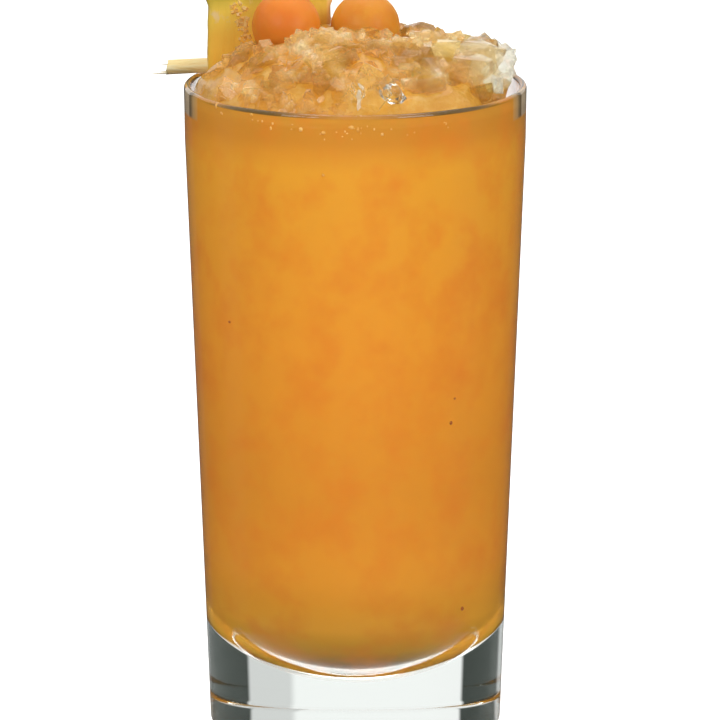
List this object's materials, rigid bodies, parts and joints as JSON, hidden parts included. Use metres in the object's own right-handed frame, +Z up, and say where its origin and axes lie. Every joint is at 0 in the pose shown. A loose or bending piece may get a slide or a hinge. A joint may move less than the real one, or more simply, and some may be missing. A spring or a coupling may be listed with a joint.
{
  "type": "glass of fruit punch",
  "caption": "Tall heavy-based tumbler filled with orange fruit punch and heaped crushed ice, with a pineapple cut, melon balls and a bamboo pick.",
  "frame": {"origin": "centre of the flat foot that the glass stands on", "axes": "+Z up along the glass's axis; -Y is the front, and the garnish and its pick stand towards -X"},
  "size_m": [0.0772, 0.07, 0.1547],
  "materials": {
    "glass": "clear, polished",
    "punch": "cloudy orange drink",
    "ice": "wet crushed ice, tinted by the punch",
    "pineapple": "wet, fibrous fruit with an olive rind",
    "melon": "wet, smooth fruit",
    "bamboo": "pale, split grain"
  },
  "bodies": {
    "root": {"glass": "glass", "punch": "punch", "ice_heap": "ice", "pineapple_wedge": "pineapple", "melon_ball_left": "melon", "melon_ball_right": "melon", "bamboo_pick": "bamboo"}
  },
  "joints": []
}
